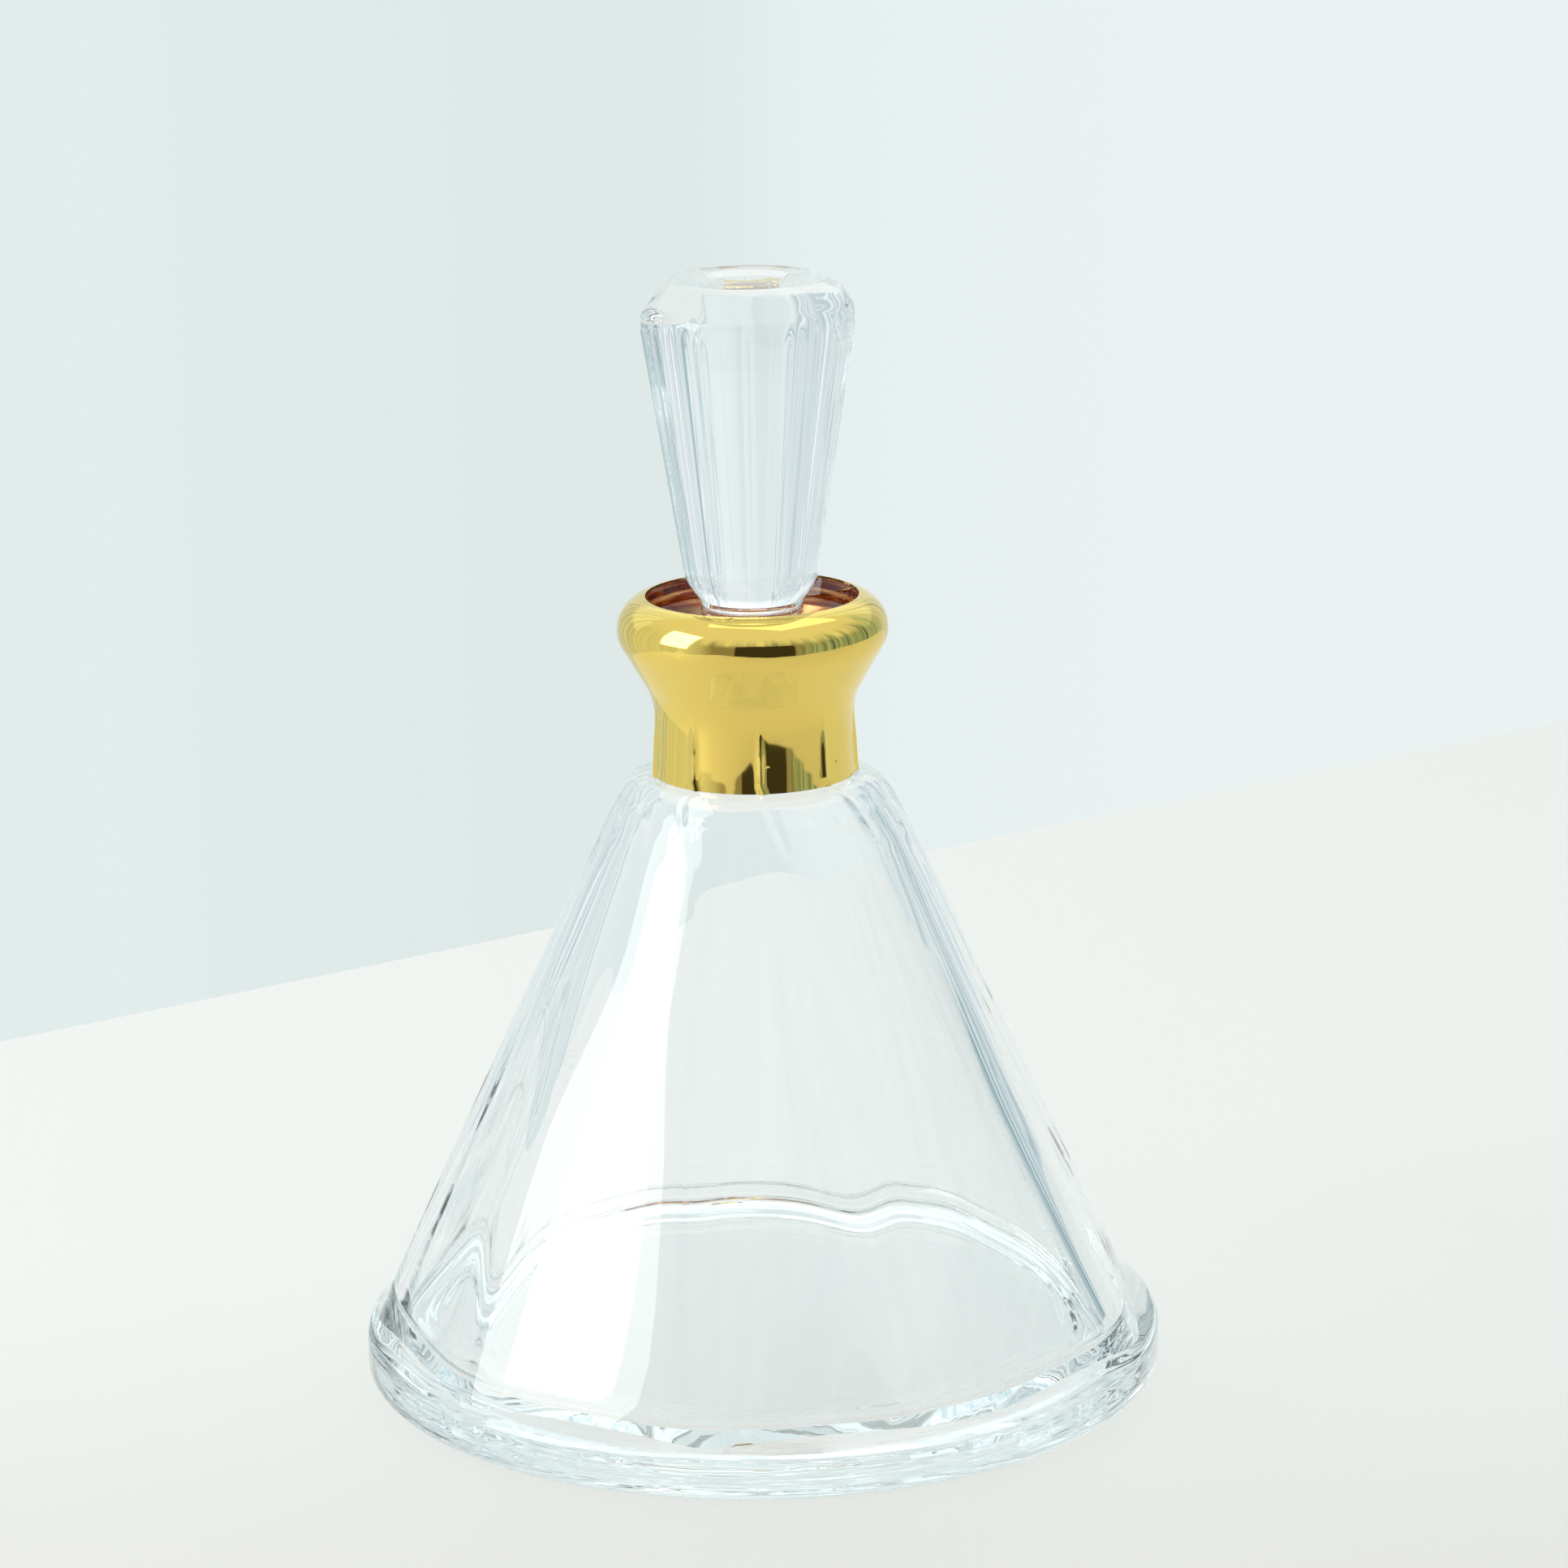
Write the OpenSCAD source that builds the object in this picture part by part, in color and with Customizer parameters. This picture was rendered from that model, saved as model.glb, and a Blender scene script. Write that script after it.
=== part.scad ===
// Perfume bottle: a faceted clear glass cone on a round foot, with a gold-coated
// neck and a solid faceted glass stopper that lifts out. Millimetres, +Z up,
// origin at the centre of the foot on the surface it stands on, front towards -Y.

/* [Foot] */
// Diameter of the round foot
foot_d = 120; // [118:1:126]
// Height of the foot's upright rim
foot_rim_z = 4.2; // [3.6:0.1:4.4]
// Radius of the rounded upper edge
foot_top_r = 3.4; // [2.4:0.2:3.4]
// Radius of the rounded lower edge
foot_edge_r = 2.6; // [1.5:0.1:3]
// Depth of the shallow hollow under the foot
punt_depth = 1.6; // [0.8:0.1:2.4]
// Radius of the hollow under the foot
punt_r = 47; // [40:1:50]

/* [Body] */
// Number of flat facets
facet_count = 9; // [8:1:10]
// Turn of the first ridge from the front, in degrees
facet_turn = -15; // [-20:1:20]
// Height where the ridges meet the foot
body_foot_z = 8; // [7.5:0.5:9]
// Ridge radius at that height
body_foot_r = 58.4; // [57:0.2:58.6]
// Height where the cone turns into the shoulder
shoulder_z = 87.5; // [86:0.5:88]
// Ridge radius at the shoulder
shoulder_r = 21; // [20:0.2:21.6]
// Radius of the shoulder's roll
shoulder_roll_r = 7; // [6.4:0.1:7.2]
// How far the ridges are rounded off
ridge_round = 0.6; // [0.3:0.1:1]
// Thickness of the body's wall
wall_t = 3.6; // [3:0.1:4.2]
// Height of the inside floor
floor_z = 7.5; // [7:0.5:12]
// Radius of the rounded corner between floor and wall
floor_corner_r = 3; // [2:0.5:6]

/* [Neck and lip] */
// Outer radius of the coated neck
neck_r = 14.7; // [14.5:0.1:15]
// Height of the coat's lower edge
coat_z = 91.8; // [91.6:0.1:93]
// Thickness of the gold coat
coat_t = 0.4; // [0.3:0.1:0.5]
// Widest radius of the lip
lip_r = 20; // [19.5:0.1:20.5]
// Radius of the lip's rounded edge
lip_round_r = 5; // [4.8:0.1:5.2]
// Height of the centre of the lip's rounded edge
lip_z = 113.3; // [113:0.1:114]
// Lean of the flare under the lip, from upright, in degrees
flare_lean = 30; // [28:1:32]
// Radius of the hollow curve between neck and flare
cove_r = 10; // [8:0.5:11]
// Radius of the long curve by which the neck swells towards the coat's lower edge
neck_swell_r = 90; // [70:5:150]
// Radius of the mouth at its edge
mouth_r = 16.2; // [16:0.1:16.6]
// Radius of the bore
bore_r = 7.4; // [7.2:0.1:7.6]
// Radius of the wider throat below the bore
throat_r = 10.8; // [10:0.2:11.2]
// Height where the throat starts to close in to the bore
throat_z = 98; // [97:0.5:98]
// Height where the bore opens into the mouth's funnel
funnel_z = 109; // [108:0.5:110]

/* [Stopper] */
// Number of flat facets on the knob
knob_facets = 8; // [8:1:12]
// Turn of the knob's first ridge from the front, in degrees
knob_turn = -27; // [-30:1:30]
// Radius of the disc under the knob
knob_disc_r = 7.5; // [7:0.1:8]
// Height of the disc's lower face
knob_z = 116.8; // [116.5:0.1:117.5]
// Radius at the top of the lower chamfer
knob_low_r = 9.9; // [9.6:0.1:10.2]
// Height of the lower chamfer's top
knob_low_z = 121; // [120.5:0.1:122]
// Widest radius of the knob
knob_wide_r = 15.8; // [15.6:0.1:16]
// Height of the widest place
knob_wide_z = 158; // [156:0.5:159]
// Radius of the knob's rounded shoulder
knob_roll_r = 7; // [6.5:0.1:7.5]
// Overall height
overall_h = 165; // [164:0.5:166]
// Radius of the polished dimple in the top
dimple_r = 6.9; // [6:0.1:7.5]
// Depth of the dimple
dimple_depth = 0.5; // [0.3:0.1:0.8]
// Length of the plug below the disc
plug_len = 18; // [14:1:20]
// Radius of the plug
plug_r = 6.2; // [6:0.1:6.3]

/* [Sealing sleeve] */
// Radial gap between the sleeve's ribs and the bore
sleeve_fit = 0.06; // [0.02:0.01:0.1]
// Radial gap between sleeve and plug
sleeve_gap = 0.05; // [0.02:0.01:0.1]
// Length of the sleeve, from its flange to its lower end
sleeve_len = 15.8; // [13:0.2:16]
// Thickness of the flange under the knob's disc
flange_t = 1.1; // [0.8:0.1:1.4]
// Gap between the flange and the knob's disc
flange_gap = 0.3; // [0.2:0.05:0.4]
// Number of sealing ribs
rib_count = 3; // [2:1:4]
// Spacing of the ribs
rib_step = 2.4; // [2:0.1:2.4]

/* [Hidden] */
$fn = 96;

foot_r = foot_d / 2;
facet_step = 360 / facet_count;
cone_slope = (body_foot_r - shoulder_r) / (shoulder_z - body_foot_z);
flat_ratio = cos(facet_step / 2);
flat_lean = atan(cone_slope * flat_ratio);
flat_span = (shoulder_z + 4) / cos(flat_lean);
block = 60;
skin_gap = 0.02;
sleeve_r = bore_r - sleeve_fit;

// Ridge radius of the outer cone at height z, and of the inner one
function ridge_r(z) = body_foot_r + cone_slope * (body_foot_z - z);
function inner_r(z) = ridge_r(z) - wall_t / cos(atan(cone_slope));

// Points of an arc about c from angle a0 to a1
function arc(c, r, a0, a1, n = 16) =
    [for (i = [0:n]) c + r * [cos(a0 + (a1 - a0) * i / n), sin(a0 + (a1 - a0) * i / n)]];

// Shoulder roll: an arc that leaves the cone without a corner. The wall follows it, then
// the ceiling slopes up to the throat with a fillet where they meet
cone_normal = 90 - atan(1 / cone_slope);
shoulder_c = [shoulder_r, shoulder_z] - shoulder_roll_r * [cos(cone_normal), sin(cone_normal)];
inner_roll_r = shoulder_roll_r - wall_t;
throat_lean = 45;
throat_fillet_r = 5;

// Outline of the neck and lip from the coat's lower edge to the mouth, d inside the coat.
// The neck swells slightly from its waist down to the coat's edge
lip_c = [lip_r - lip_round_r, lip_z];
flare_top = lip_c + lip_round_r * [cos(flare_lean), -sin(flare_lean)];
cove_end_r = neck_r + cove_r * (1 - cos(flare_lean));
cove_z = flare_top[1] - (flare_top[0] - cove_end_r) / tan(flare_lean) - cove_r * sin(flare_lean);
mouth_angle = acos((mouth_r - lip_c[0]) / lip_round_r);
neck_waist = asin((cove_z - coat_z) / neck_swell_r);
function neck_outline(d) = concat(
    arc([neck_r + neck_swell_r, cove_z], neck_swell_r + d, 180 + neck_waist, 180, 4),
    [for (i = [1:8]) arc([neck_r + cove_r, cove_z], cove_r + d, 180, 180 - flare_lean, 8)[i]],
    arc(lip_c, lip_round_r - d, -flare_lean, mouth_angle, 24));

// Outwards block whose inner face leans with the body's facets; dist is the face's
// distance from the axis at z = 0
module facet_block(dist) {
    translate([0, -dist, 0]) rotate([-flat_lean, 0, 0])
        translate([-block, -block, 0]) cube([2 * block, block, flat_span]);
}

module facet_blocks(dist) {
    for (i = [0:facet_count - 1])
        rotate([0, 0, facet_turn + facet_step * (i + 0.5)]) facet_block(dist);
}

// Cone, shoulder, neck and lip, as one turned shape with the facets cut off it
module body_outside() {
    difference() {
        rotate_extrude() polygon(concat(
            [[0, 3], [ridge_r(3) - ridge_round - 2, 3], [ridge_r(5) - ridge_round, 5]],
            arc(shoulder_c, shoulder_roll_r - ridge_round / 2, cone_normal, 82, 10),
            neck_outline(coat_t + skin_gap),
            [[0, lip_z + 4]]));
        facet_blocks(ridge_r(0) * flat_ratio);
    }
}

// Round foot with a rounded lower edge, a sloping top and a shallow hollow below
module foot() {
    rotate_extrude() polygon(concat(
        [[0, punt_depth], [punt_r, punt_depth], [punt_r + 3 * punt_depth, 0]],
        arc([foot_r - foot_edge_r, foot_edge_r], foot_edge_r, -90, 0, 8),
        arc([foot_r - foot_top_r, foot_rim_z], foot_top_r, 0, 72, 6),
        [[foot_r * flat_ratio - 2, body_foot_z + 0.2], [0, body_foot_z + 0.2]]));
}

// The space for the perfume: floor, faceted cone, rolled top and the throat in the neck
module inside_space() {
    floor_c = [inner_r(floor_z + floor_corner_r) - floor_corner_r / cos(cone_normal),
               floor_z + floor_corner_r];
    roll_end = shoulder_c + inner_roll_r * [cos(throat_lean), sin(throat_lean)];
    fillet_c = [throat_r + throat_fillet_r,
                roll_end[1] + roll_end[0] - throat_r + throat_fillet_r * tan(throat_lean / 2)];
    throat_top = max(throat_z, fillet_c[1] + 0.1);
    difference() {
        rotate_extrude() polygon(concat(
            [[0, floor_z]],
            arc(floor_c, floor_corner_r, -90, cone_normal, 10),
            arc(shoulder_c, inner_roll_r, cone_normal, throat_lean, 3),
            arc(fillet_c, throat_fillet_r, 180 + throat_lean, 180, 6),
            [[throat_r, throat_top], [bore_r, throat_top + 2], [0, throat_top + 2]]));
        facet_blocks(inner_r(0) * flat_ratio);
    }
}

// Bore, funnel and the mouth's inner wall
module bore_space() {
    translate([0, 0, throat_z]) cylinder(r = bore_r, h = funnel_z - throat_z + 1);
    rotate_extrude() polygon([
        [0, funnel_z], [bore_r, funnel_z], [mouth_r - 1, funnel_z + 5.5],
        [mouth_r - 0.6, funnel_z + 7], [mouth_r, lip_z + 4.4],
        [mouth_r + 0.6, lip_z + 6], [0, lip_z + 6]]);
}

module bottle_glass() {
    color([0.86, 0.93, 0.93, 0.35]) difference() {
        union() {
            body_outside();
            foot();
        }
        inside_space();
        bore_space();
    }
}

// The gold coat: a thin skin over the neck and round the lip to the mouth's edge
module gold_collar() {
    outer = neck_outline(0);
    inner = neck_outline(coat_t);
    color([0.83, 0.66, 0.2]) rotate_extrude()
        polygon(concat(outer, [for (i = [len(inner) - 1:-1:0]) inner[i]]));
}

// Soft clear sleeve on the plug: a flange under the knob's disc, a tube down through
// the funnel, and ribs that seal against the bore
module sealing_sleeve() {
    top_z = knob_z - flange_gap;
    low_z = top_z - sleeve_len;
    color([0.93, 0.93, 0.9, 0.6]) difference() {
        union() {
            translate([0, 0, low_z]) cylinder(r = sleeve_r - 0.3, h = sleeve_len - flange_t / 2);
            for (i = [0:rib_count - 1])
                translate([0, 0, low_z + 0.6 + rib_step * i]) cylinder(r = sleeve_r, h = rib_step / 2);
            translate([0, 0, top_z - flange_t]) cylinder(r = knob_disc_r, h = flange_t);
        }
        translate([0, 0, low_z - 1]) cylinder(r = plug_r + sleeve_gap, h = sleeve_len + 2);
    }
}

// One cutting block for a knob facet: its inner face leans outwards as it rises
module knob_block(lean, dist) {
    translate([0, -dist, knob_low_z]) rotate([lean, 0, 0])
        translate([-block / 2, -block / 2, 0])
            cube([block, block / 2, overall_h - knob_low_z - 2]);
}

// Solid glass stopper: faceted knob with a rolled shoulder and a dimple in its flat top,
// a chamfer down to the disc, and the plug that the sleeve is on
module stopper_glass() {
    knob_flat = cos(180 / knob_facets);
    knob_lean = atan((knob_wide_r - knob_low_r) / (knob_wide_z - knob_low_z) * knob_flat);
    roll_c = [knob_wide_r - knob_roll_r, overall_h - knob_roll_r * sin(66)];
    color([0.88, 0.94, 0.95, 0.35]) {
        difference() {
            rotate_extrude() polygon(concat(
                [[0, knob_z], [knob_disc_r, knob_z], [knob_disc_r, knob_z + 0.8],
                 [knob_low_r, knob_low_z], [knob_wide_r, knob_wide_z]],
                arc(roll_c, knob_roll_r, 0, 66, 10),
                [[dimple_r, overall_h], [dimple_r - 1.5, overall_h - dimple_depth],
                 [0, overall_h - dimple_depth]]));
            for (i = [0:knob_facets - 1])
                rotate([0, 0, knob_turn + 360 / knob_facets * (i + 0.5)])
                    knob_block(knob_lean, knob_low_r * knob_flat);
        }
        translate([0, 0, knob_z - plug_len]) cylinder(r = plug_r, h = plug_len + 1);
    }
}

bottle_glass();
gold_collar();
sealing_sleeve();
stopper_glass();
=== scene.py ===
import math

import bmesh
import bpy
import numpy as np
from mathutils import Matrix, Vector


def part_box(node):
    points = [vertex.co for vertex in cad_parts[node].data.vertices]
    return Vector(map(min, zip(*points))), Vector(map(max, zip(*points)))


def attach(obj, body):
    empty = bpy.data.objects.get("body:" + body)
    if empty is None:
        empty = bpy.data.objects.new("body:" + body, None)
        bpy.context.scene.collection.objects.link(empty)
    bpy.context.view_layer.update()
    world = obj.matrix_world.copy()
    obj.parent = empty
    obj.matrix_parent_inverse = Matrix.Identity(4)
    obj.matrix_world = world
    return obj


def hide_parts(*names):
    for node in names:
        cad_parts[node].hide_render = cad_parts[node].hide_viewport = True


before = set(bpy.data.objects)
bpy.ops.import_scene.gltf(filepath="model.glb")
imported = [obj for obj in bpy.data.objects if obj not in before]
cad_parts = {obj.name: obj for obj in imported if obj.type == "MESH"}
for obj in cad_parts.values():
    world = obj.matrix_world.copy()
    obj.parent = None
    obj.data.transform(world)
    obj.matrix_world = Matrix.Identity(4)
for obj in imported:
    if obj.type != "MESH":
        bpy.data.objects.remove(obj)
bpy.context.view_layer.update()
MM = 0.001

# ---------------------------------------------------------------- sizes, in millimetres
gold_low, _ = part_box("gold_collar")
knob_low, knob_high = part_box("stopper_glass")
sleeve_low, sleeve_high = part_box("sealing_sleeve")

FOOT_R = 60.0                    # foot, widest
FOOT_EDGE_R = 2.0                # its rounded lower edge
FOOT_RIM_Z, FOOT_TOP_Z = 4.0, 8.6  # its upright rim and the ledge the facets rise from
FOOT_LEDGE = 5.2                 # how far the rounded edge reaches in at the ledge
FOOT_TURN_Z, LEDGE_END_Z = 5.0, 12.0  # height whose drift its top takes; the ledge ends below
PUNT_R, PUNT_Z, PUNT_SLOPE = 47.0, 1.6, 4.8  # hollow under the foot, and its sloping edge

FACETS, PER_FACET = 9, 28        # PER_FACET mesh columns a facet
RIDGE_TURN, RIDGE_DRIFT = -7.0, 0.185  # first ridge's place at z = 0, and its drift per mm
DRIFT_MORE, DRIFT_MORE_Z = 0.023, 70.0  # the drift grows from here up
DRIFT_END_Z = 93.0               # and ends here
RIDGE_R0, CONE_SLOPE = 62.9, 0.470   # ridge radius at z = 0 and its loss per mm of height
RIDGE_SOFT, RIDGE_SOFT_IN = 0.65, 0.5  # the higher, the sharper a ridge is, per mm
FLAT_BULGE, FLAT_BULGE_IN = 0.1, 0.2  # 0 is a plane facet, 1 a round cone
ROUNDER_LOW_Z, ROUNDER_HIGH_Z = 45.0, 80.0  # between these the facets grow rounder
ROUNDER_BULGE, ROUNDER_SOFT = 0.45, 0.4  # by so much
WORN_RIDGE, WORN_BY, WORN_SPAN = 1, 0.55, 0.45  # one ridge is worn, over part of its facets
FLATS_TOP_Z = 78.0               # where the shoulder's rings take over
WALL_T = 3.6
FLOOR_Z, FLOOR_CORNER_R = 7.5, 1.8
FLOOR_WAVE, WAVE_SPAN, WAVE_STEP = 0.1, 0.2, 0.045  # rings near the floor's edge: their height,
                                 # and their zone and spacing as shares of its radius

SHOULDER_Z, SHOULDER_R, SHOULDER_ROLL = 87.5, 21.0, 7.0
SHOULDER_LOW_Z, SHOULDER_END = 80.0, 84  # its first ring, and where its roll ends, in degrees
MELT, MELT_SHARP = 0.25, 1.6     # how roll and facets melt together outside
MELT_IN, MELT_SHARP_IN = 0.3, 1.2  # and inside
NECK_R = 14.7
COAT_Z = gold_low[2] / MM        # lower edge of the gold
COAT_T, GLASS_UNDER = 0.36, 0.30  # gold's thickness, and how far below its face the glass is
LIP_R, LIP_ROUND, LIP_Z = 20.0, 5.0, 113.3
FLARE_LEAN = math.radians(30)
COVE_R = 10.0
NECK_SWELL_R = 90.0              # the neck widens slightly from its waist to the coat's edge
SEAM_H, SEAM_W = 0.42, 0.5       # the ridges' seams on the neck
SEAM_LOW_Z, SEAM_HIGH_Z, SEAM_FADE = 84.0, 103.0, 6.0  # where they end, and how gradually
MOUTH_R = 15.7
BORE_R, FUNNEL_Z = 7.4, 109.0
THROAT_R, THROAT_Z = 10.8, 98.0
THROAT_LEAN, THROAT_FILLET = 45.0, 5.0   # slope of the ceiling up to the throat

KNOB_FACETS, PER_KNOB_FACET, KNOB_TURN = 8, 40, -27.0
KNOB_DISC_R, KNOB_Z = 7.5, 116.8
KNOB_LOW_R, KNOB_LOW_Z = 9.9, 121.0
KNOB_WIDE_R, KNOB_WIDE_Z = 15.8, 158.0
KNOB_ROLL = 7.0
KNOB_CORNER, KNOB_SHARP, KNOB_BULGE = 1.02, 2.6, 0.5
KNOB_STREAK = 0.04               # depth of the fine upright streaks in its facets
STREAKS = ((41, 1.0, 0.0), (67, 0.45, 1.0), (23, 0.6, 2.0))  # number round it, share, phase
BEVEL_R, BEVEL_Z, BEVEL_SLOPE = 15.7, 159.6, 0.72
BEVEL_RUN_OUT, BEVEL_RUN_OUT_AT = 0.55, 80  # it runs out on this side, in degrees
CROWN_END = 66                   # where the crown's roll meets the flat top, in degrees
TOP_Z = knob_high[2] / MM
DIMPLE_R, DIMPLE_DEPTH = 6.9, 0.5
PLUG_R = 6.2
SLEEVE_BORE_R = PLUG_R + 0.05
SLEEVE_SIDES = 8                 # mesh sectors, as a round piece has no facets
RIBS, RIB_H, RIB_STEP = 3, 0.26, 2.4


def arc(cx, cz, r, a0, a1, n):
    """Points (radius, height) of an arc from angle a0 to a1, in degrees."""
    return [(cx + r * math.cos(math.radians(a0 + (a1 - a0) * i / n)),
             cz + r * math.sin(math.radians(a0 + (a1 - a0) * i / n))) for i in range(n + 1)]


def soft_min(a, b, sharp):
    """The smaller of a and b, with a rounded change-over."""
    m = np.minimum(a, b)
    return m - np.log(np.exp(-sharp * (a - m)) + np.exp(-sharp * (b - m))) / sharp


def fine(points, step):
    """The same outline with extra points, so that none of its steps is longer than step."""
    out = [points[0]]
    for (r0, z0), (r1, z1) in zip(points, points[1:]):
        n = max(1, math.ceil(math.hypot(r1 - r0, z1 - z0) / step))
        out += [(r0 + (r1 - r0) * i / n, z0 + (z1 - z0) * i / n) for i in range(1, n + 1)]
    return out


# ---------------------------------------------------------------- turned and faceted meshes
def columns(facets, per_facet):
    """Places round the axis in facet units: whole numbers are ridges, closer together there."""
    t = (np.arange(per_facet) / per_facet) * 2 - 1
    inside = 0.5 + 0.5 * np.sin(t * math.pi / 2)
    return np.concatenate([k + inside for k in range(facets)])


def ring(radius, height, place, facets, turn):
    """One ring of points. turn is the first ridge's place from the front, in degrees."""
    a = np.radians(turn + place * 360 / facets)
    z = np.broadcast_to(np.asarray(height, float), a.shape)
    r = np.broadcast_to(np.asarray(radius, float), a.shape)
    return np.stack([r * np.sin(a), -r * np.cos(a), z], -1) * MM


def closed_mesh(name, rings, loop=False):
    """A mesh through the rings. Its ends close on the axis, or on each other with loop."""
    n = len(rings[0])
    verts = np.concatenate(rings)
    faces = []
    spans = len(rings) if loop else len(rings) - 1
    for j in range(spans):
        a, b = j * n, ((j + 1) % len(rings)) * n
        faces += [(a + i, a + (i + 1) % n, b + (i + 1) % n, b + i) for i in range(n)]
    verts = verts.tolist()
    if not loop:
        first, last = len(verts), len(verts) + 1
        verts += [(0, 0, float(rings[0][:, 2].mean())), (0, 0, float(rings[-1][:, 2].mean()))]
        end = (len(rings) - 1) * n
        faces += [(first, (i + 1) % n, i) for i in range(n)]
        faces += [(last, end + i, end + (i + 1) % n) for i in range(n)]
    mesh = bpy.data.meshes.new(name)
    mesh.from_pydata(verts, [], faces)
    mesh.validate()
    mesh.update()
    obj = bpy.data.objects.new(name, mesh)
    bpy.context.scene.collection.objects.link(obj)
    return obj


def shade(obj, angle):
    """Smooth shading, with edges sharper than angle degrees kept crisp."""
    bm = bmesh.new()
    bm.from_mesh(obj.data)
    bmesh.ops.recalc_face_normals(bm, faces=bm.faces)
    for f in bm.faces:
        f.smooth = True
    for e in bm.edges:
        e.smooth = e.calc_face_angle(0) < math.radians(angle)
    bm.to_mesh(obj.data)
    bm.free()


# ---------------------------------------------------------------- the body's shape
def body_turn(z):
    """Where the first ridge is at height z, in degrees: the facets drift as they rise."""
    z = min(z, DRIFT_END_Z)
    return RIDGE_TURN - RIDGE_DRIFT * z - DRIFT_MORE * max(0.0, z - DRIFT_MORE_Z) ** 2


def faceted(place, facets, ridge, inset, sharp, bulge):
    """Radius of a soft-edged polygon whose corners are at ridge, inset inside it."""
    step = math.radians(360 / facets)
    delta = step * (np.mod(place, 1) - 0.5)
    dist = ridge * math.cos(step / 2) - inset
    flat = soft_min(dist / np.cos(delta), dist / np.cos(step - np.abs(delta)), sharp)
    return flat + bulge * (ridge - inset - flat)


def worn(place):
    """How sharp each ridge is: the one to the right of the front is worn much softer."""
    return 1 - WORN_BY * np.exp(-((place - WORN_RIDGE) / WORN_SPAN) ** 2)


def rounder(z):
    """0 low on the body, rising to 1 below the shoulder."""
    return np.clip((np.asarray(z, float) - ROUNDER_LOW_Z) / (ROUNDER_HIGH_Z - ROUNDER_LOW_Z), 0, 1)


def body_flat(place, z):
    """Radius of the faceted cone at height z. Its facets grow rounder towards the shoulder."""
    sharp = RIDGE_SOFT * (1 - ROUNDER_SOFT * rounder(z)) * worn(place)
    bulge = FLAT_BULGE + ROUNDER_BULGE * rounder(z)
    return faceted(place, FACETS, RIDGE_R0 - CONE_SLOPE * z, 0, sharp, bulge)


def body_flat_in(place, z):
    """The same on the inside of the wall."""
    inset = WALL_T / math.cos(math.atan(CONE_SLOPE))
    sharp = RIDGE_SOFT_IN * worn(place)
    bulge = FLAT_BULGE_IN + ROUNDER_BULGE * rounder(z)
    return faceted(place, FACETS, RIDGE_R0 - CONE_SLOPE * z, inset, sharp, bulge)


def foot_top(z):
    """Radius of the foot's rounded upper edge."""
    t = (z - FOOT_RIM_Z) / (FOOT_TOP_Z - FOOT_RIM_Z)
    return FOOT_R - FOOT_LEDGE * t ** 5


cone_angle = math.degrees(math.atan(CONE_SLOPE))
roll_cx = SHOULDER_R - SHOULDER_ROLL * math.cos(math.radians(cone_angle))
roll_cz = SHOULDER_Z - SHOULDER_ROLL * math.sin(math.radians(cone_angle))
lip_cx = LIP_R - LIP_ROUND
flare_top = (lip_cx + LIP_ROUND * math.cos(FLARE_LEAN), LIP_Z - LIP_ROUND * math.sin(FLARE_LEAN))
cove_end_r = NECK_R + COVE_R * (1 - math.cos(FLARE_LEAN))
cove_z = flare_top[1] - (flare_top[0] - cove_end_r) / math.tan(FLARE_LEAN) \
    - COVE_R * math.sin(FLARE_LEAN)
mouth_angle = math.degrees(math.acos((MOUTH_R - lip_cx) / LIP_ROUND))


def neck_outline(d):
    """Neck and lip from the coat's lower edge to the mouth, d inside the coat's surface."""
    lean = math.degrees(FLARE_LEAN)
    waist = math.degrees(math.asin((cove_z - COAT_Z) / NECK_SWELL_R))
    return (arc(NECK_R + NECK_SWELL_R, cove_z, NECK_SWELL_R + d, 180 + waist, 180, 10)
            + arc(NECK_R + COVE_R, cove_z, COVE_R + d, 180, 180 - lean, 12)[1:]
            + arc(lip_cx, LIP_Z, LIP_ROUND - d, -lean, mouth_angle, 36))


def seam(place, z):
    """The ridges run on up the neck as thin raised seams that fade out."""
    off = (np.mod(place + 0.5, 1) - 0.5) * math.radians(360 / FACETS) * NECK_R
    fade = min(1.0, max(0.0, (SEAM_HIGH_Z - z) / SEAM_FADE))
    fade *= min(1.0, max(0.0, (z - SEAM_LOW_Z) / SEAM_FADE))
    return SEAM_H * fade * np.exp(-(off / SEAM_W) ** 2)


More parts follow.
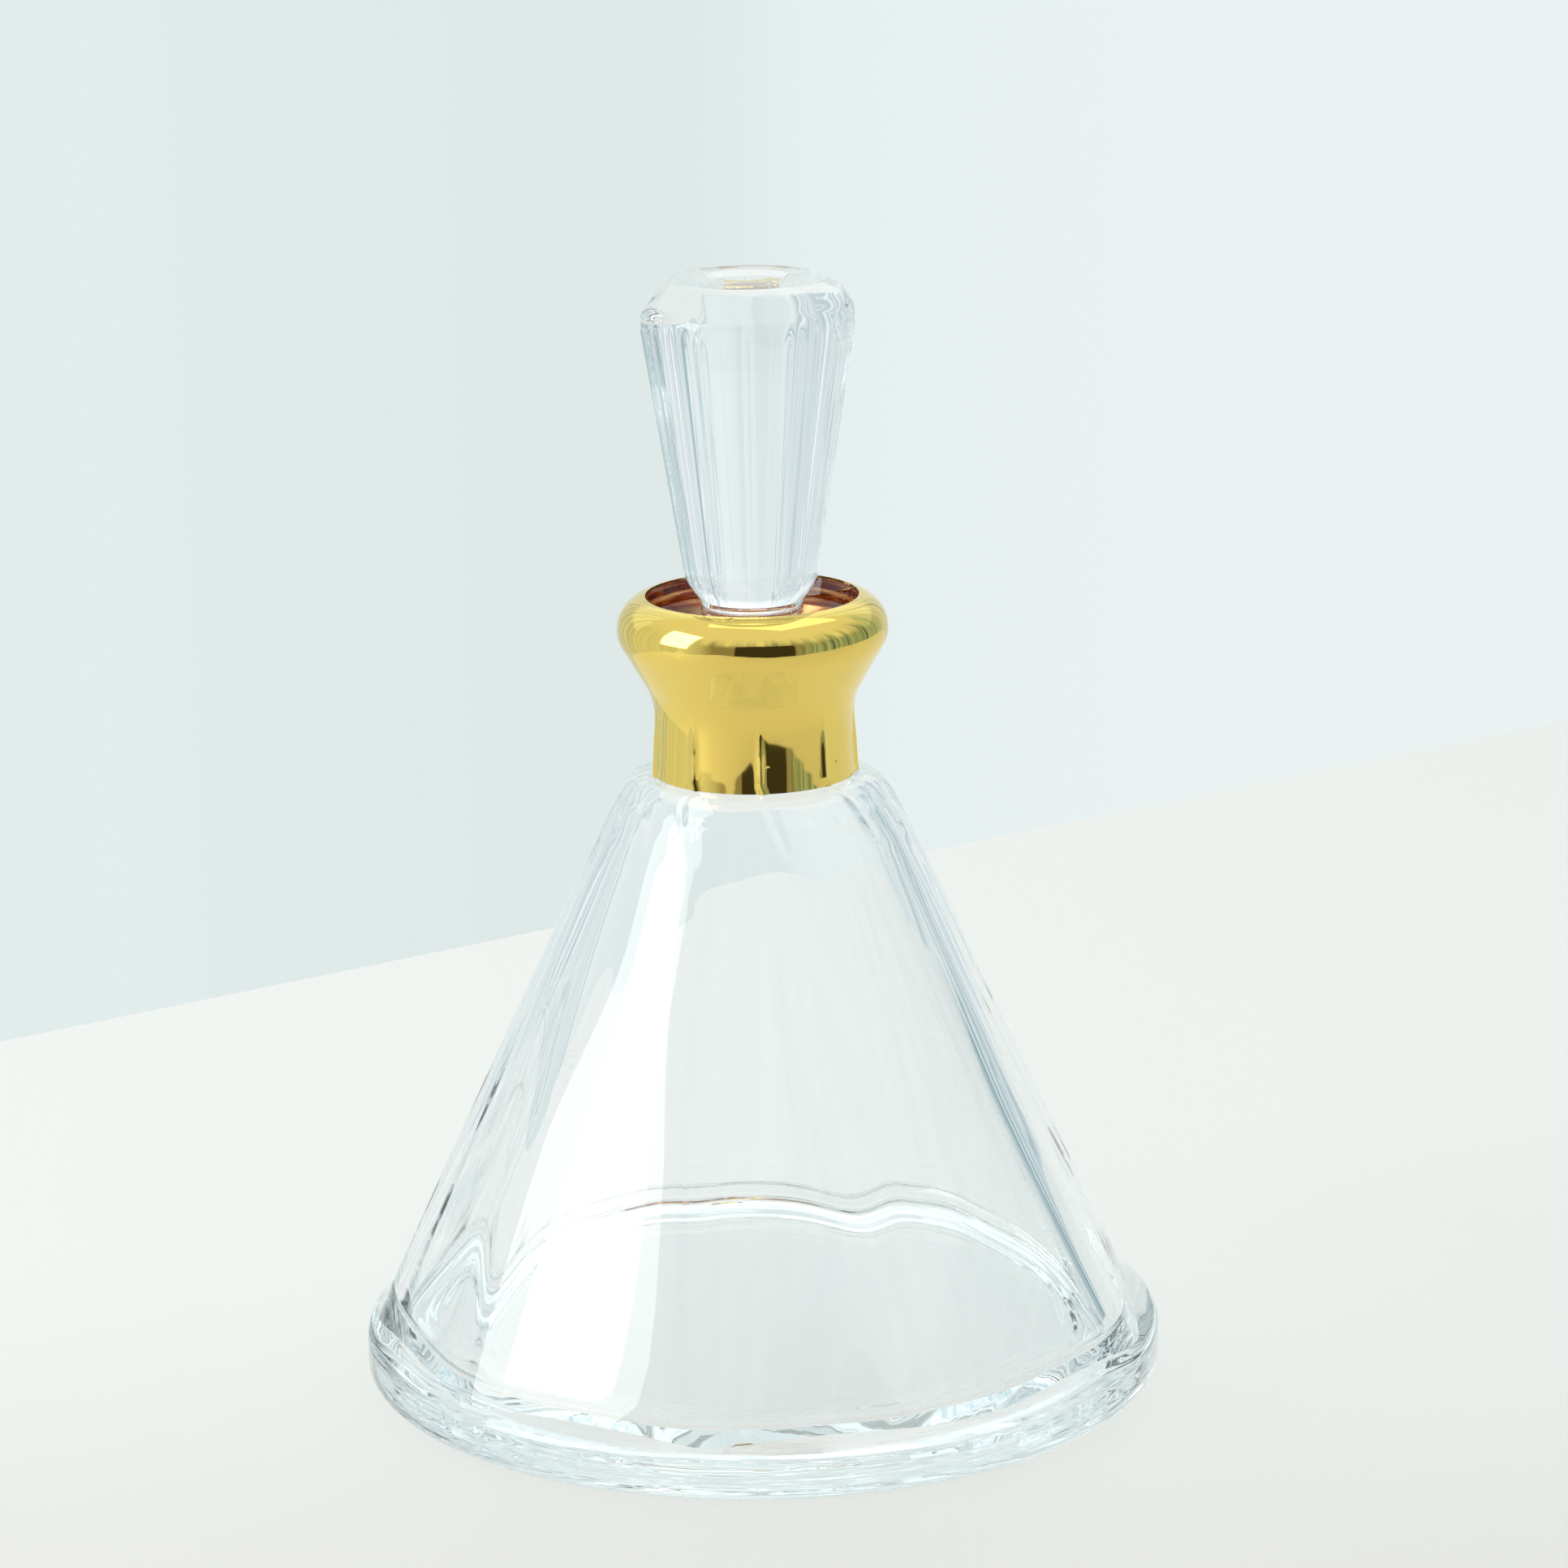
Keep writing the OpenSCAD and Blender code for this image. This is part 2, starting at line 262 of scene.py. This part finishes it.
def make_bottle():
    place = columns(FACETS, PER_FACET)

    def at(radius, height, z_for_turn=None):
        z = float(np.mean(height)) if z_for_turn is None else z_for_turn
        return ring(radius, height, place, FACETS, body_turn(z))

    rings = []
    # underside, bearing ring, rounded edge and rim
    under = fine([(0.6, PUNT_Z), (PUNT_R, PUNT_Z), (PUNT_R + PUNT_SLOPE, 0.0),
                  (FOOT_R - FOOT_EDGE_R, 0.0)], 3.0)
    under += arc(FOOT_R - FOOT_EDGE_R, FOOT_EDGE_R, FOOT_EDGE_R, -90, 0, 10)[1:]
    rings += [at(r, z, FOOT_RIM_Z) for r, z in under]
    # the foot's sloping top, as far as the crease where the facets rise from it
    lo, hi = np.full(place.shape, FOOT_RIM_Z), np.full(place.shape, LEDGE_END_Z)
    for _ in range(40):
        mid = (lo + hi) / 2
        outside = foot_top(mid) > body_flat(place, mid)
        lo, hi = np.where(outside, mid, lo), np.where(outside, hi, mid)
    crease = lo
    for t in np.linspace(0, 1, 9):
        z = FOOT_RIM_Z + (crease - FOOT_RIM_Z) * t
        rings.append(at(foot_top(z), z, FOOT_TURN_Z))
    # the facets, up to the shoulder
    for t in np.linspace(0, 1, 41)[1:]:
        z = crease + (FLATS_TOP_Z - crease) * t
        a = np.radians(np.vectorize(body_turn)(z) + place * 360 / FACETS)
        r = body_flat(place, z)
        rings.append(np.stack([r * np.sin(a), -r * np.cos(a), z], -1) * MM)
    # shoulder: the flats melt into the roll
    cone = [(RIDGE_R0 - CONE_SLOPE * z, z) for z in np.linspace(SHOULDER_LOW_Z, SHOULDER_Z - 1, 6)]
    for r, z in cone + arc(roll_cx, roll_cz, SHOULDER_ROLL, cone_angle, SHOULDER_END, 16):
        melted = soft_min(np.full(place.shape, r + MELT), body_flat(place, z), MELT_SHARP)
        rings.append(at(melted + seam(place, z), z))
    # neck and lip under the gold
    for r, z in fine(neck_outline(GLASS_UNDER), 1.2):
        rings.append(at(r + seam(place, z), z))
    # mouth, funnel and bore
    mouth = [(MOUTH_R - 0.2, LIP_Z + 4.2), (MOUTH_R - 0.6, FUNNEL_Z + 7),
             (MOUTH_R - 0.8, FUNNEL_Z + 6), (MOUTH_R - 1.4, FUNNEL_Z + 5.3),
             (BORE_R + 1.2, FUNNEL_Z + 0.5), (BORE_R + 0.3, FUNNEL_Z - 0.2),
             (BORE_R, FUNNEL_Z - 1.2), (BORE_R, THROAT_Z + 2),
             (THROAT_R - 0.6, THROAT_Z + 0.3), (THROAT_R - 0.1, THROAT_Z - 0.4),
             (THROAT_R, THROAT_Z - 1.2)]
    rings += [at(r, z) for r, z in fine(mouth, 1.5)]
    # the inside: throat, sloping ceiling, softened facets, floor corner
    roll_in = SHOULDER_ROLL - WALL_T
    lean = math.radians(THROAT_LEAN)
    roll_end = (roll_cx + roll_in * math.cos(lean), roll_cz + roll_in * math.sin(lean))
    fillet = (THROAT_R + THROAT_FILLET,
              roll_end[1] + roll_end[0] - THROAT_R + THROAT_FILLET * math.tan(lean / 2))
    throat = [(THROAT_R, THROAT_Z - 1.8), (THROAT_R, fillet[1] + 0.3)]
    rings += [at(r, z) for r, z in fine(throat, 1.0)]
    ceiling = arc(*fillet, THROAT_FILLET, 180, 180 + THROAT_LEAN, 8)
    ceiling = fine(ceiling + arc(roll_cx, roll_cz, roll_in, THROAT_LEAN, cone_angle, 4), 1.2)
    inner_at = RIDGE_R0 - WALL_T / math.cos(math.radians(cone_angle))

    def inside_wall(r, z):
        return soft_min(np.full(place.shape, r + MELT_IN), body_flat_in(place, z), MELT_SHARP_IN)

    corner_z = FLOOR_Z + FLOOR_CORNER_R
    ceiling += [(inner_at - CONE_SLOPE * z, z) for z in np.linspace(82, corner_z + 2.2, 46)]
    rings += [at(inside_wall(r, z), z) for r, z in ceiling]
    corner = inside_wall(inner_at - CONE_SLOPE * corner_z, corner_z)
    corner = corner - FLOOR_CORNER_R / math.cos(math.radians(cone_angle))
    for r, z in arc(0, corner_z, FLOOR_CORNER_R, cone_angle, -90, 12):
        rings.append(at(corner + r, z))
    # the floor, with gentle rings near its edge
    calm = 1 - WAVE_SPAN
    for f in np.concatenate([np.linspace(0.985, calm, 25), (0.7, 0.55, 0.4, 0.25, 0.02)]):
        wave = FLOOR_WAVE * max(0.0, f - calm) / WAVE_SPAN
        wave *= math.sin((1 - f) / WAVE_STEP * 2 * math.pi)
        rings.append(at(corner * f, FLOOR_Z + wave))
    obj = closed_mesh("bottle-glass", rings)
    shade(obj, angle=24)
    return obj


def make_gold():
    place = columns(FACETS, PER_FACET)
    outer, inner = fine(neck_outline(0), 0.8), fine(neck_outline(COAT_T), 0.8)

    rings = [ring(r + seam(place, z), z, place, FACETS, body_turn(z)) for r, z in outer + inner[::-1]]
    obj = closed_mesh("gold-coat", rings, loop=True)
    shade(obj, angle=40)
    n, flat = len(place), len(outer)
    for p in obj.data.polygons:          # faces between inner rings take the second material
        p.material_index = 1 if p.index // n >= flat else 0
    return obj


def knob_flat(place, z):
    """Radius of the knob's facets at height z."""
    slope = (KNOB_WIDE_R - KNOB_LOW_R) / (KNOB_WIDE_Z - KNOB_LOW_Z)
    ridge = KNOB_LOW_R + slope * (z - KNOB_LOW_Z)
    a = place * 2 * math.pi / KNOB_FACETS
    streaks = sum(share * np.sin(number * a + phase) for number, share, phase in STREAKS)
    flat = faceted(place, KNOB_FACETS, ridge * KNOB_CORNER, 0, KNOB_SHARP, KNOB_BULGE)
    return flat + KNOB_STREAK * streaks


def knob_bevel(place, z):
    """A hand-cut bevel round the crown: widest at the left, run out at the right."""
    az = np.radians(KNOB_TURN + place * 360 / KNOB_FACETS)
    run_out = BEVEL_RUN_OUT * (1 + np.cos(az - math.radians(BEVEL_RUN_OUT_AT)))
    return BEVEL_R - BEVEL_SLOPE * (z - BEVEL_Z) + run_out


def make_stopper():
    place = columns(KNOB_FACETS, PER_KNOB_FACET)

    def at(radius, height):
        return ring(radius, height, place, KNOB_FACETS, KNOB_TURN)

    low = knob_low[2] / MM
    stem = [(0.5, low), (PLUG_R - 0.8, low), (PLUG_R - 0.2, low + 0.25), (PLUG_R, low + 0.9),
            (PLUG_R, KNOB_Z - 0.6), (PLUG_R + 0.3, KNOB_Z - 0.1), (KNOB_DISC_R - 0.35, KNOB_Z),
            (KNOB_DISC_R, KNOB_Z + 0.35), (KNOB_DISC_R, KNOB_Z + 0.9)]
    rings = [at(r, z) for r, z in fine(stem, 2.0)]
    for t in np.linspace(0, 1, 8)[1:]:
        z = KNOB_Z + 0.9 + (KNOB_LOW_Z - KNOB_Z - 0.9) * t
        cone = KNOB_DISC_R + (KNOB_LOW_R - KNOB_DISC_R) * t
        rings.append(at(soft_min(np.full(place.shape, cone + 0.15), knob_flat(place, z), 3.0), z))
    for z in np.linspace(KNOB_LOW_Z, KNOB_WIDE_Z, 26)[1:]:
        rings.append(at(knob_flat(place, z), z))
    roll_z = TOP_Z - KNOB_ROLL * math.sin(math.radians(CROWN_END))
    for r, z in arc(KNOB_WIDE_R - KNOB_ROLL, roll_z, KNOB_ROLL, 0, CROWN_END, 36):
        crown = soft_min(np.full(place.shape, r + 0.05), knob_bevel(place, z), 12)
        rings.append(at(soft_min(crown, knob_flat(place, z), 4), z))
    r_end = KNOB_WIDE_R - KNOB_ROLL + KNOB_ROLL * math.cos(math.radians(CROWN_END))
    cap = [(r_end - 0.5, TOP_Z - 0.02), (DIMPLE_R + 0.4, TOP_Z), (DIMPLE_R, TOP_Z - 0.08),
           (DIMPLE_R - 1.5, TOP_Z - DIMPLE_DEPTH), (0.5, TOP_Z - DIMPLE_DEPTH - 0.1)]
    rings += [at(r, z) for r, z in fine(cap, 1.2)]
    obj = closed_mesh("stopper-glass", rings)
    shade(obj, angle=30)
    return obj


def make_sleeve():
    place = columns(SLEEVE_SIDES, 12)
    low, high = sleeve_low[2] / MM, sleeve_high[2] / MM
    tube = BORE_R - 0.36
    outline = [(SLEEVE_BORE_R, low), (tube - 0.3, low), (tube, low + 0.3)]
    for i in range(RIBS):
        z = low + 0.6 + RIB_STEP * i
        outline += [(tube, z), (tube + RIB_H, z + 0.35), (tube + RIB_H, z + 0.85), (tube, z + 1.2)]
    outline += [(tube, high - 1.15), (KNOB_DISC_R - 0.2, high - 1.1),
                (KNOB_DISC_R - 0.02, high - 0.85), (KNOB_DISC_R - 0.02, high - 0.25),
                (KNOB_DISC_R - 0.25, high), (SLEEVE_BORE_R, high)]
    bore = [(SLEEVE_BORE_R, z) for z in np.linspace(high, low, 12)[1:-1]]
    rings = [ring(r, z, place, SLEEVE_SIDES, 0) for r, z in fine(outline, 1.5) + bore]
    obj = closed_mesh("sleeve", rings, loop=True)
    shade(obj, angle=35)
    return obj


# ---------------------------------------------------------------- materials
def new_material(name):
    m = bpy.data.materials.new(name)
    m.use_nodes = True
    nt = m.node_tree
    nt.nodes.clear()
    out = nt.nodes.new("ShaderNodeOutputMaterial")
    return m, nt, out


def bump(nt, scale, strength, distance, detail=2.0, stretch=(1, 1, 1)):
    """A fine procedural unevenness of the surface."""
    coord = nt.nodes.new("ShaderNodeTexCoord")
    place = nt.nodes.new("ShaderNodeMapping")
    place.inputs["Scale"].default_value = stretch
    noise = nt.nodes.new("ShaderNodeTexNoise")
    noise.inputs["Scale"].default_value = scale
    noise.inputs["Detail"].default_value = detail
    b = nt.nodes.new("ShaderNodeBump")
    b.inputs["Strength"].default_value = strength
    b.inputs["Distance"].default_value = distance
    nt.links.new(coord.outputs["Object"], place.inputs["Vector"])
    nt.links.new(place.outputs["Vector"], noise.inputs["Vector"])
    nt.links.new(noise.outputs["Fac"], b.inputs["Height"])
    return b


FOLDS_LOW, FOLDS_HIGH = 0.36, 0.62   # the noise's usual reach


def striped(nt, along, scale, low, high, detail):
    """Soft folds in light and shade: a colour that wanders between low and high with the value along.
    """
    noise = nt.nodes.new("ShaderNodeTexNoise")
    noise.noise_dimensions = "1D"
    noise.inputs["Scale"].default_value = scale
    noise.inputs["Detail"].default_value = detail
    noise.inputs["Roughness"].default_value = 0.6
    ramp = nt.nodes.new("ShaderNodeValToRGB")
    ramp.color_ramp.elements[0].position = FOLDS_LOW
    ramp.color_ramp.elements[0].color = (*low, 1)
    ramp.color_ramp.elements[1].position = FOLDS_HIGH
    ramp.color_ramp.elements[1].color = (*high, 1)
    nt.links.new(along, noise.inputs["W"])
    nt.links.new(noise.outputs["Fac"], ramp.inputs["Fac"])
    return ramp.outputs["Color"]


def span(nt, value, low, high):
    """0 below low and 1 above high, or the other way round if low is the larger."""
    node = nt.nodes.new("ShaderNodeMapRange")
    node.interpolation_type = "SMOOTHSTEP"
    node.inputs["From Min"].default_value, node.inputs["From Max"].default_value = low, high
    nt.links.new(value, node.inputs["Value"])
    return node.outputs["Result"]


def math_node(nt, operation, *values):
    """The outcome of one sum, whose values are numbers or sockets."""
    node = nt.nodes.new("ShaderNodeMath")
    node.operation = operation
    for i, v in enumerate(values):
        if isinstance(v, (int, float)):
            node.inputs[i].default_value = v
        else:
            nt.links.new(v, node.inputs[i])
    return node.outputs[0]


def mixed(nt, factor, first, second):
    """A colour between two, where either may be a plain colour."""
    node = nt.nodes.new("ShaderNodeMix")
    node.data_type = "RGBA"
    nt.links.new(factor, node.inputs["Factor"])
    for name, c in (("A", first), ("B", second)):
        socket = next(i for i in node.inputs if i.name == name and i.type == "RGBA")
        if isinstance(c, tuple):
            socket.default_value = (*c, 1)
        else:
            nt.links.new(c, socket)
    return next(o for o in node.outputs if o.type == "RGBA")


PRESSED_R, PRESSED_Z = 52.0, 1.9     # the pressed part of the underside


def pressed_below(nt, first):
    """The underside alone is pressed with long shallow streaks, on top of the bump first."""
    coord = nt.nodes.new("ShaderNodeTexCoord")
    parts = nt.nodes.new("ShaderNodeSeparateXYZ")
    nt.links.new(coord.outputs["Object"], parts.inputs[0])
    x, y, z = parts.outputs
    radius = math_node(nt, "SQRT", math_node(nt, "ADD", math_node(nt, "MULTIPLY", x, x),
                                             math_node(nt, "MULTIPLY", y, y)))
    here = math_node(nt, "MULTIPLY", math_node(nt, "LESS_THAN", z, PRESSED_Z * MM),
                     math_node(nt, "LESS_THAN", radius, PRESSED_R * MM))
    second = bump(nt, scale=130.0, strength=0.6, distance=0.4 * MM, stretch=(1, 0.14, 1))
    height = second.inputs["Height"].links[0].from_socket
    nt.links.new(math_node(nt, "MULTIPLY", height, here), second.inputs["Height"])
    nt.links.new(first.outputs["Normal"], second.inputs["Normal"])
    return second


def glass_material(name, ior, tint, absorb, density, wave, pressed=False):
    """Clear glass. Lamps and the table's light pass straight through it, for soft shadows."""
    m, nt, out = new_material(name)
    p = nt.nodes.new("ShaderNodeBsdfPrincipled")
    p.inputs["Base Color"].default_value = (*tint, 1)
    p.inputs["Roughness"].default_value = 0.0
    p.inputs["IOR"].default_value = ior
    p.inputs["Transmission Weight"].default_value = 1.0
    uneven = bump(nt, **wave)
    if pressed:
        uneven = pressed_below(nt, uneven)
    nt.links.new(uneven.outputs["Normal"], p.inputs["Normal"])
    clear = nt.nodes.new("ShaderNodeBsdfTransparent")
    clear.inputs["Color"].default_value = (0.985, 0.99, 0.99, 1)
    path = nt.nodes.new("ShaderNodeLightPath")
    through = math_node(nt, "MAXIMUM", path.outputs["Is Shadow Ray"], path.outputs["Is Diffuse Ray"])
    mix = nt.nodes.new("ShaderNodeMixShader")
    nt.links.new(through, mix.inputs[0])
    nt.links.new(p.outputs[0], mix.inputs[1])
    nt.links.new(clear.outputs[0], mix.inputs[2])
    nt.links.new(mix.outputs[0], out.inputs["Surface"])
    soak = nt.nodes.new("ShaderNodeVolumeAbsorption")
    soak.inputs["Color"].default_value = (*absorb, 1)
    soak.inputs["Density"].default_value = density
    nt.links.new(soak.outputs[0], out.inputs["Volume"])
    return m


PIT_SCALE, PIT_DEPTH = 210.0, 0.1 * MM   # tiny pits in a cast surface
PIT_IN, PIT_OUT = 0.05, 0.12         # a pit's floor and rim, in the cell pattern's units
TONE_SCALE, TONE_DARK = 60.0, 0.94   # the metal's tone wanders down to this share


def metal_material(name, color, roughness, wave, pits=0.0):
    """Mirror metal with a slightly uneven tone, and tiny pits if pits isn't 0."""
    m, nt, out = new_material(name)
    p = nt.nodes.new("ShaderNodeBsdfPrincipled")
    p.inputs["Metallic"].default_value = 1.0
    p.inputs["Roughness"].default_value = roughness
    b = bump(nt, **wave)
    if pits:
        coord = nt.nodes.new("ShaderNodeTexCoord")
        cells = nt.nodes.new("ShaderNodeTexVoronoi")
        cells.inputs["Scale"].default_value = PIT_SCALE
        ramp = nt.nodes.new("ShaderNodeMapRange")
        ramp.inputs["From Min"].default_value = PIT_IN
        ramp.inputs["From Max"].default_value = PIT_OUT
        second = nt.nodes.new("ShaderNodeBump")
        second.inputs["Strength"].default_value = pits
        second.inputs["Distance"].default_value = PIT_DEPTH
        nt.links.new(coord.outputs["Object"], cells.inputs["Vector"])
        nt.links.new(cells.outputs["Distance"], ramp.inputs["Value"])
        nt.links.new(ramp.outputs["Result"], second.inputs["Height"])
        nt.links.new(b.outputs["Normal"], second.inputs["Normal"])
        b = second
    shade_noise = nt.nodes.new("ShaderNodeTexNoise")
    shade_noise.inputs["Scale"].default_value = TONE_SCALE
    where = nt.nodes.new("ShaderNodeTexCoord")
    ramp = nt.nodes.new("ShaderNodeValToRGB")
    ramp.color_ramp.elements[0].color = (*[c * TONE_DARK for c in color], 1)
    ramp.color_ramp.elements[1].color = (*color, 1)
    nt.links.new(where.outputs["Object"], shade_noise.inputs["Vector"])
    nt.links.new(shade_noise.outputs["Fac"], ramp.inputs["Fac"])
    nt.links.new(ramp.outputs["Color"], p.inputs["Base Color"])
    nt.links.new(b.outputs["Normal"], p.inputs["Normal"])
    nt.links.new(p.outputs[0], out.inputs["Surface"])
    return m


def glow_material(name, color):
    m, nt, out = new_material(name)
    e = nt.nodes.new("ShaderNodeEmission")
    e.inputs["Color"].default_value = (*color, 1)
    nt.links.new(e.outputs[0], out.inputs["Surface"])
    return m


# ---------------------------------------------------------------- pieces
bottle = make_bottle()
bottle.data.materials.append(glass_material(
    "clear glass", ior=1.5, tint=(0.985, 0.992, 0.993), absorb=(0.64, 0.77, 0.79), density=3.0,
    wave=dict(scale=28.0, strength=0.25, distance=0.4 * MM, detail=1.0, stretch=(1, 1, 0.35)),
    pressed=True))
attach(bottle, "bottle")
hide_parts("bottle_glass")

gold = make_gold()
gold.data.materials.append(metal_material(
    "gold coat", color=(0.88, 0.66, 0.16), roughness=0.05,
    wave=dict(scale=120.0, strength=0.22, distance=0.4 * MM), pits=0.35))
gold.data.materials.append(metal_material(
    "gold back", color=(0.66, 0.29, 0.11), roughness=0.12,
    wave=dict(scale=90.0, strength=0.2, distance=0.4 * MM)))
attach(gold, "bottle")
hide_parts("gold_collar")

stopper = make_stopper()
stopper.data.materials.append(glass_material(
    "stopper glass", ior=1.5, tint=(0.99, 0.995, 0.995), absorb=(0.6, 0.82, 0.86), density=3.0,
    wave=dict(scale=35.0, strength=0.2, distance=0.4 * MM, detail=1.0, stretch=(1, 1, 0.15))))
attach(stopper, "stopper")
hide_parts("stopper_glass")

sleeve = make_sleeve()
sleeve.data.materials.append(glass_material(
    "sleeve plastic", ior=1.46, tint=(0.985, 0.98, 0.985), absorb=(0.8, 0.8, 0.82), density=4.0,
    wave=dict(scale=60.0, strength=0.2, distance=0.3 * MM, detail=1.0)))
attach(sleeve, "sleeve")
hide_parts("sealing_sleeve")


# ---------------------------------------------------------------- stage and light
def panel(name, corners, material):
    mesh = bpy.data.meshes.new(name)
    mesh.from_pydata([tuple(c) for c in corners], [], [tuple(range(len(corners)))])
    mesh.update()
    obj = bpy.data.objects.new(name, mesh)
    bpy.context.scene.collection.objects.link(obj)
    obj.data.materials.append(material)


def upright(name, x, y, z, material):
    """A panel that stands across the room at y, from x[0] to x[1] and z[0] to z[1]."""
    panel(name, [(x[0], y, z[0]), (x[1], y, z[0]), (x[1], y, z[1]), (x[0], y, z[1])], material)


def table_top():
    """Pale, matt, and painted a little darker towards the front: painted shade for the soft shadow
    round the bottle's foot.
    """
    m, nt, out = new_material("table")
    p = nt.nodes.new("ShaderNodeBsdfPrincipled")
    p.inputs["Roughness"].default_value = 0.6
    coord = nt.nodes.new("ShaderNodeTexCoord")
    parts = nt.nodes.new("ShaderNodeSeparateXYZ")
    nt.links.new(coord.outputs["Object"], parts.inputs[0])
    # painted shade: from behind the bottle to its front the table's colour turns darker
    painted_shade_in_front = span(nt, parts.outputs["Y"], 0.05, -0.10)     # from behind the bottle to its front
    nt.links.new(mixed(nt, painted_shade_in_front, (0.80, 0.80, 0.775), (0.74, 0.72, 0.69)), p.inputs["Base Color"])
    nt.links.new(p.outputs[0], out.inputs["Surface"])
    return m


def hangings():
    """A glowing panel, pale, with the painted light and shade of soft folds behind the bottle,
    deeper ones beside it and dim ones far right. High up it glows brighter: painted light."""
    m, nt, out = new_material("hangings")
    where = nt.nodes.new("ShaderNodeTexCoord")
    xyz = nt.nodes.new("ShaderNodeSeparateXYZ")
    glow = nt.nodes.new("ShaderNodeEmission")
    nt.links.new(where.outputs["Object"], xyz.inputs[0])
    x, y, z = xyz.outputs
    # painted light and shade of folds, set in the panel's own glow
    soft = striped(nt, x, scale=2.3, low=(0.735, 0.812, 0.805), high=(0.79, 0.865, 0.865), detail=3.0)
    soft = mixed(nt, span(nt, x, -0.05, 0.3), soft, (0.825, 0.895, 0.89))
    deep = striped(nt, x, scale=6.0, low=(0.38, 0.52, 0.56), high=(0.97, 0.99, 0.99), detail=5.0)
    dim = striped(nt, x, scale=3.0, low=(0.14, 0.25, 0.28), high=(0.62, 0.74, 0.76), detail=5.0)
    aside = span(nt, math_node(nt, "ABSOLUTE", x), 0.47, 0.75)
    far_right = span(nt, x, 1.5, 2.6)
    nt.links.new(mixed(nt, far_right, mixed(nt, aside, soft, deep), dim), glow.inputs["Color"])
    # painted light: high up the panel glows up to 1.4 times as bright
    painted_glow_high_up = span(nt, z, 0.85, 1.3)
    nt.links.new(math_node(nt, "MULTIPLY_ADD", painted_glow_high_up, 0.4, 1.0), glow.inputs["Strength"])
    nt.links.new(glow.outputs[0], out.inputs["Surface"])
    return m


# the table top: its far edge runs away to the right behind the bottle, and its near edge
# comes closer to the right
edge_a, edge_b = Vector((-0.127, 0.175, 0)), Vector((0.127, 0.355, 0))
run = (edge_b - edge_a).normalized()
far_left, far_right = edge_a - run * 0.5, edge_b + run * 0.9
near_edge = [Vector((far_left.x, -1.05, 0)), Vector((0.12, -0.43, 0)),
             Vector((far_right.x, -0.2, 0))]
gap = Vector((0, 0, -0.4 * MM))          # the foot stands on the table with a little air below
panel("table", [v + gap for v in (far_left, *near_edge, far_right)], table_top())

upright("backdrop", x=(-4, 4), y=2.2, z=(-2, 3), material=hangings())

# something dark stands in the room in front, a little to the right
upright("dark-front", x=(-0.28, 0.80), y=-1.1, z=(-0.3, 0.55),
        material=glow_material("dark", (0.05, 0.045, 0.035)))


def area(name, loc, target, size, size_y, power):
    data = bpy.data.lights.new(name, "AREA")
    data.shape = "RECTANGLE"
    data.size, data.size_y = size, size_y
    data.energy = power
    obj = bpy.data.objects.new(name, data)
    bpy.context.scene.collection.objects.link(obj)
    obj.location = loc
    obj.rotation_euler = (Vector(target) - Vector(loc)).to_track_quat("-Z", "Y").to_euler()
    return obj


area("window", loc=(-1.27, -0.47, 0.75), target=(0, 0, 0.08), size=0.75, size_y=1.1, power=9.0)
area("key", loc=(0.2, 0.4, 1.6), target=(0, 0, 0), size=1.2, size_y=1.2, power=3.0)


def light_room():
    """The world: folds all round and pale above, dim low down in front and at the right, and
    lit at the left."""
    world = bpy.data.worlds.new("studio")
    bpy.context.scene.world = world
    world.use_nodes = True
    nt = world.node_tree
    way = nt.nodes.new("ShaderNodeTexCoord")
    part = nt.nodes.new("ShaderNodeSeparateXYZ")
    nt.links.new(way.outputs["Generated"], part.inputs[0])
    x, y, z = part.outputs
    around = math_node(nt, "ARCTAN2", x, y)
    folds = striped(nt, around, scale=4.5, low=(0.26, 0.36, 0.39), high=(0.96, 0.98, 0.97), detail=5.0)
    dim = striped(nt, around, scale=14.0, low=(0.10, 0.20, 0.22), high=(0.50, 0.62, 0.64), detail=4.0)
    in_front = math_node(nt, "MULTIPLY", span(nt, y, -0.45, -0.80), span(nt, z, 0.50, 0.25))
    at_right = math_node(nt, "MULTIPLY", span(nt, x, 0.55, 0.85), span(nt, z, 0.45, 0.2))
    at_left = math_node(nt, "MULTIPLY", span(nt, x, -0.5, -0.8), 0.6)
    room = mixed(nt, span(nt, z, 0.35, 0.75), folds, (0.92, 0.94, 0.93))
    room = mixed(nt, in_front, room, (0.30, 0.29, 0.26))
    room = mixed(nt, at_right, room, dim)
    room = mixed(nt, at_left, room, (0.90, 0.95, 0.95))
    nt.links.new(room, nt.nodes["Background"].inputs["Color"])


light_room()

# ---------------------------------------------------------------- camera
CAMERA_AT = Vector((0.0043, -0.7253, 0.2775))
CAMERA_DOWN, CAMERA_ROLL = math.radians(14.54), math.radians(-0.81)
data = bpy.data.cameras.new("camera")
data.sensor_width = 36.0
data.lens = 116.2
camera = bpy.data.objects.new("camera", data)
bpy.context.scene.collection.objects.link(camera)
bpy.context.scene.camera = camera
forward = Vector((0, math.cos(CAMERA_DOWN), -math.sin(CAMERA_DOWN)))
up = Vector((0, math.sin(CAMERA_DOWN), math.cos(CAMERA_DOWN)))
right = Vector((1, 0, 0))
right, up = (right * math.cos(CAMERA_ROLL) + up * math.sin(CAMERA_ROLL),
             up * math.cos(CAMERA_ROLL) - right * math.sin(CAMERA_ROLL))
turn = Matrix((right, up, -forward)).transposed().to_4x4()
camera.matrix_world = Matrix.Translation(CAMERA_AT) @ turn

GLASS_BOUNCES = 40               # light is reflected many times inside thick glass
scene = bpy.context.scene
scene.view_settings.view_transform = "Standard"
scene.cycles.max_bounces = GLASS_BOUNCES
scene.cycles.glossy_bounces = GLASS_BOUNCES
scene.cycles.transmission_bounces = GLASS_BOUNCES
scene.cycles.transparent_max_bounces = 24
